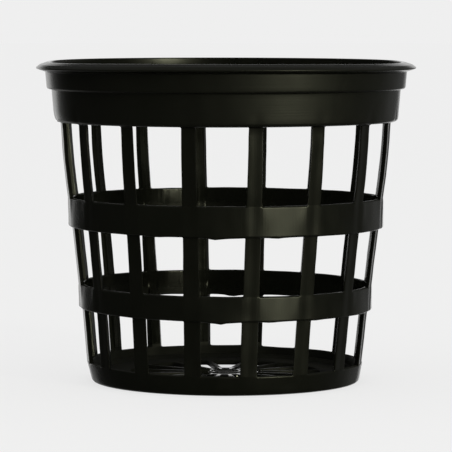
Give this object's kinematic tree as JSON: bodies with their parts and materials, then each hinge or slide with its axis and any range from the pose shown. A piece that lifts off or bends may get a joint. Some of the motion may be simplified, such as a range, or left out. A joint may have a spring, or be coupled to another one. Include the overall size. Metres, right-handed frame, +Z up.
{
  "type": "net pot",
  "caption": "Round mesh plant pot in black plastic with a flared lip, a stepped collar, tiers of open windows between ribs and hoops, and a slotted floor.",
  "frame": {"origin": "middle of the foot, on the surface that the pot stands on", "axes": "+Z up along the pot's axis; a window, not a rib, faces each of +X, -X, +Y and -Y"},
  "size_m": [0.09, 0.09, 0.076],
  "materials": {
    "rim": "satin black polypropylene",
    "collar": "satin black polypropylene",
    "hoop": "satin black polypropylene",
    "rib": "satin black polypropylene",
    "base": "satin black polypropylene",
    "floor": "smoother black polypropylene"
  },
  "bodies": {
    "root": {"rim_lip": "rim", "upper_collar": "collar", "lower_collar": "collar", "upper_hoop": "hoop", "lower_hoop": "hoop", "base_ring": "base", "floor_grid": "floor", "rib_01": "rib", "rib_02": "rib", "rib_03": "rib", "rib_04": "rib", "rib_05": "rib", "rib_06": "rib", "rib_07": "rib", "rib_08": "rib", "rib_09": "rib", "rib_10": "rib", "rib_11": "rib", "rib_12": "rib", "rib_13": "rib", "rib_14": "rib", "rib_15": "rib", "rib_16": "rib"}
  },
  "joints": []
}
